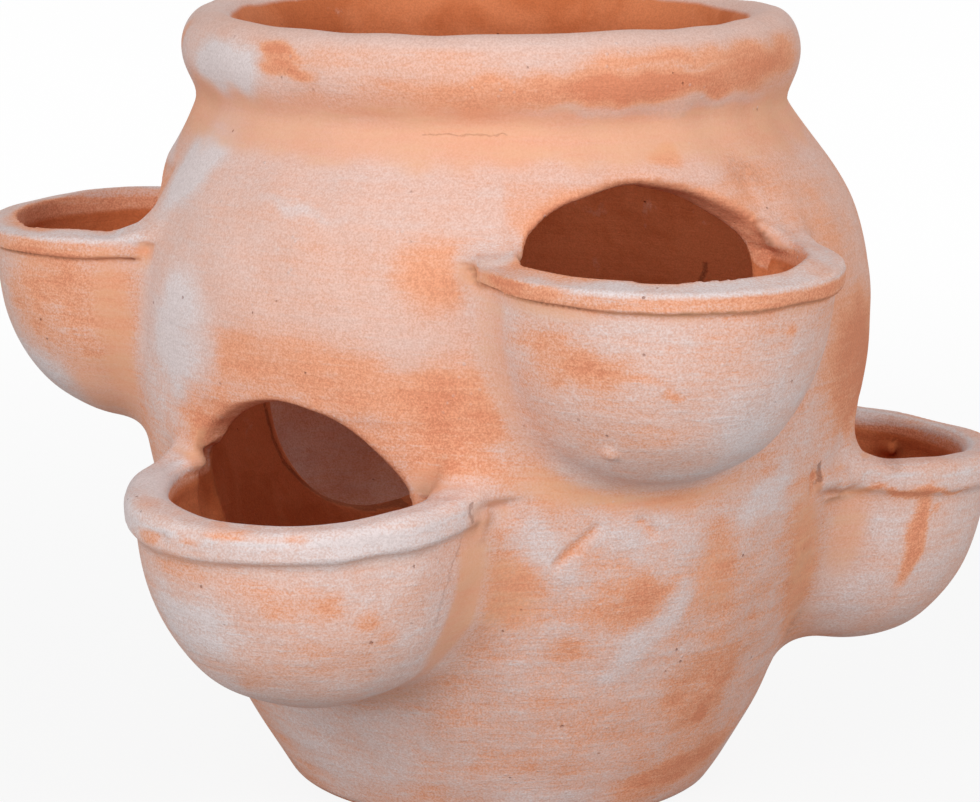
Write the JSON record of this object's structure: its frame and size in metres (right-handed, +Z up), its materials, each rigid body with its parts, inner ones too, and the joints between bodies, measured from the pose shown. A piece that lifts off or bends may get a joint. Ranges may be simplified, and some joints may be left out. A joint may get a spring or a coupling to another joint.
{
  "type": "strawberry jar planter",
  "caption": "Wide-bellied terracotta strawberry jar with a thick rolled rim and two staggered rows of open planting pockets luted onto its wall.",
  "frame": {"origin": "middle of the jar's base, on the ground it stands on", "axes": "+Z up along the jar's axis, -Y towards the pictured front, +X to the right of that view"},
  "size_m": [0.4408, 0.4166, 0.332],
  "materials": {
    "terracotta_wall": "matte unglazed, with a pale lime wash",
    "terracotta_rim": "matte unglazed, pale lime wash over orange clay",
    "terracotta_cup": "matte unglazed, brushed orange slip",
    "terracotta_lip": "matte unglazed, whitened by lime",
    "terracotta_luting": "matte unglazed, smoothed with wet slip"
  },
  "bodies": {
    "root": {"base_slab": "terracotta_wall", "lower_wall": "terracotta_wall", "shoulder": "terracotta_wall", "rim_roll": "terracotta_rim", "cup_upper_left": "terracotta_cup", "cup_upper_front": "terracotta_cup", "cup_lower_front": "terracotta_cup", "cup_lower_right": "terracotta_cup", "cup_lower_rear": "terracotta_cup", "lip_upper_left": "terracotta_lip", "lip_upper_front": "terracotta_lip", "lip_lower_front": "terracotta_lip", "lip_lower_right": "terracotta_lip", "lip_lower_rear": "terracotta_lip", "luting_upper_left": "terracotta_luting", "luting_upper_front": "terracotta_luting", "luting_lower_front": "terracotta_luting", "luting_lower_right": "terracotta_luting", "luting_lower_rear": "terracotta_luting"}
  },
  "joints": []
}
